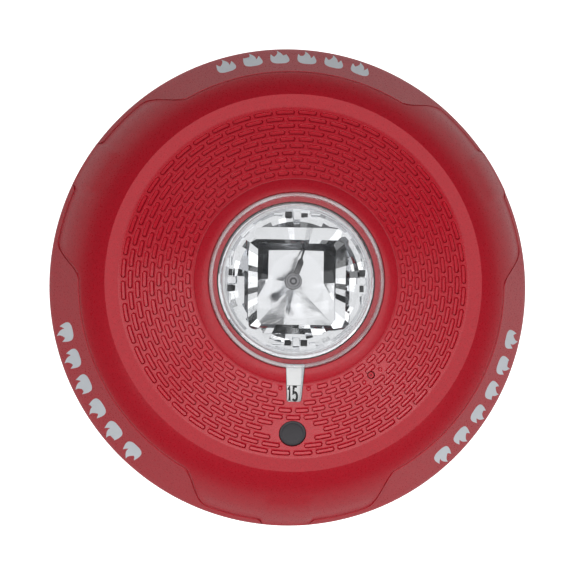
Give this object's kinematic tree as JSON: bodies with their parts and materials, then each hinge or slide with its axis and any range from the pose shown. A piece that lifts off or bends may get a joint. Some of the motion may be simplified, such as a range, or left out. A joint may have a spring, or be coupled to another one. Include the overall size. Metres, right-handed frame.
{
  "type": "horn strobe",
  "caption": "Round red ceiling horn strobe with a clear domed strobe lens, a dashed face, candela and tone selectors, and a plug-on mounting plate.",
  "frame": {"origin": "centre of the mounting plate's back face, on the ceiling plane", "axes": "+Z out of the front through the lens, +Y towards the side opposite the number window and the badge, +X to the right seen from the front"},
  "size_m": [0.1728, 0.1728, 0.064],
  "materials": {
    "plate_plastic": "satin moulded",
    "black_plastic": "fine texture",
    "plated_brass": "plated",
    "plated_steel": "zinc plated",
    "spring_steel": "rolled",
    "red_plastic": "fine moulded grain",
    "badge_grey": "satin",
    "clear_lens": "polished clear plastic",
    "reflector_chrome": "mirror",
    "tube_glass": "clear",
    "electrode_metal": "dull",
    "lead_wire": "dull",
    "ivory_plastic": "moulded",
    "board_green": "solder mask",
    "capacitor_sleeve": "shrink sleeve",
    "ferrite": "sintered",
    "copper_winding": "enamelled wire",
    "yellow_tape": "tape",
    "chip_black": "moulded epoxy",
    "switch_blue": "moulded",
    "chamber_grey": "moulded",
    "piezo_brass": "rolled",
    "piezo_white": "silvered ceramic",
    "strip_white": "printed",
    "marking_ink": "printed silver ink"
  },
  "bodies": {
    "plate": {"mounting_plate": "plate_plastic", "terminal_block": "black_plastic", "terminal_clamps": "plated_brass", "terminal_screws": "plated_steel", "contact_jacks": "plated_brass", "shorting_spring": "spring_steel"},
    "head": {"front_housing": "red_plastic", "round_badge": "badge_grey", "strobe_lens": "clear_lens", "window_card": "strip_white", "reflector": "reflector_chrome", "flash_tube": "tube_glass", "tube_end_caps": "electrode_metal", "tube_lead": "lead_wire", "tube_socket": "ivory_plastic", "rear_cover": "black_plastic", "cover_screws": "plated_steel", "circuit_board": "board_green", "board_screws": "plated_steel", "strobe_capacitor": "capacitor_sleeve", "inductor_core": "ferrite", "inductor_winding": "copper_winding", "trigger_transformer": "yellow_tape", "control_chips": "chip_black", "power_transistor": "chip_black", "rectifier_diodes": "chip_black", "pin_header": "ivory_plastic", "contact_pins": "plated_brass", "candela_switch_body": "black_plastic", "tone_switch_body": "switch_blue", "horn_chamber": "chamber_grey", "piezo_plate": "piezo_brass", "piezo_ceramic": "piezo_white", "piezo_contacts": "spring_steel"},
    "candela_slider": {"candela_lever": "ivory_plastic", "candela_strip": "strip_white"},
    "tone_rotor": {"tone_selector": "ivory_plastic"},
    "mounting_screw": {"captive_screw": "plated_steel", "captive_washer": "black_plastic"}
  },
  "joints": [
    {"name": "head_lift", "type": "slide", "parent": "plate", "child": "head", "axis": [0, 0, 1], "range_m": [0, 0.05]},
    {"name": "candela_slide", "type": "slide", "parent": "head", "child": "candela_slider", "axis": [1, 0, 0], "range_m": [0, 0.0252]},
    {"name": "tone_turn", "type": "hinge", "parent": "head", "child": "tone_rotor", "pos_m": [-0.032, -0.032, 0.015], "axis": [0, 0, 1], "range_deg": [0, 315]},
    {"name": "screw_turn", "type": "hinge", "parent": "head", "child": "mounting_screw", "pos_m": [0.0271, -0.0326, 0.02], "axis": [0, 0, 1], "continuous": true}
  ]
}
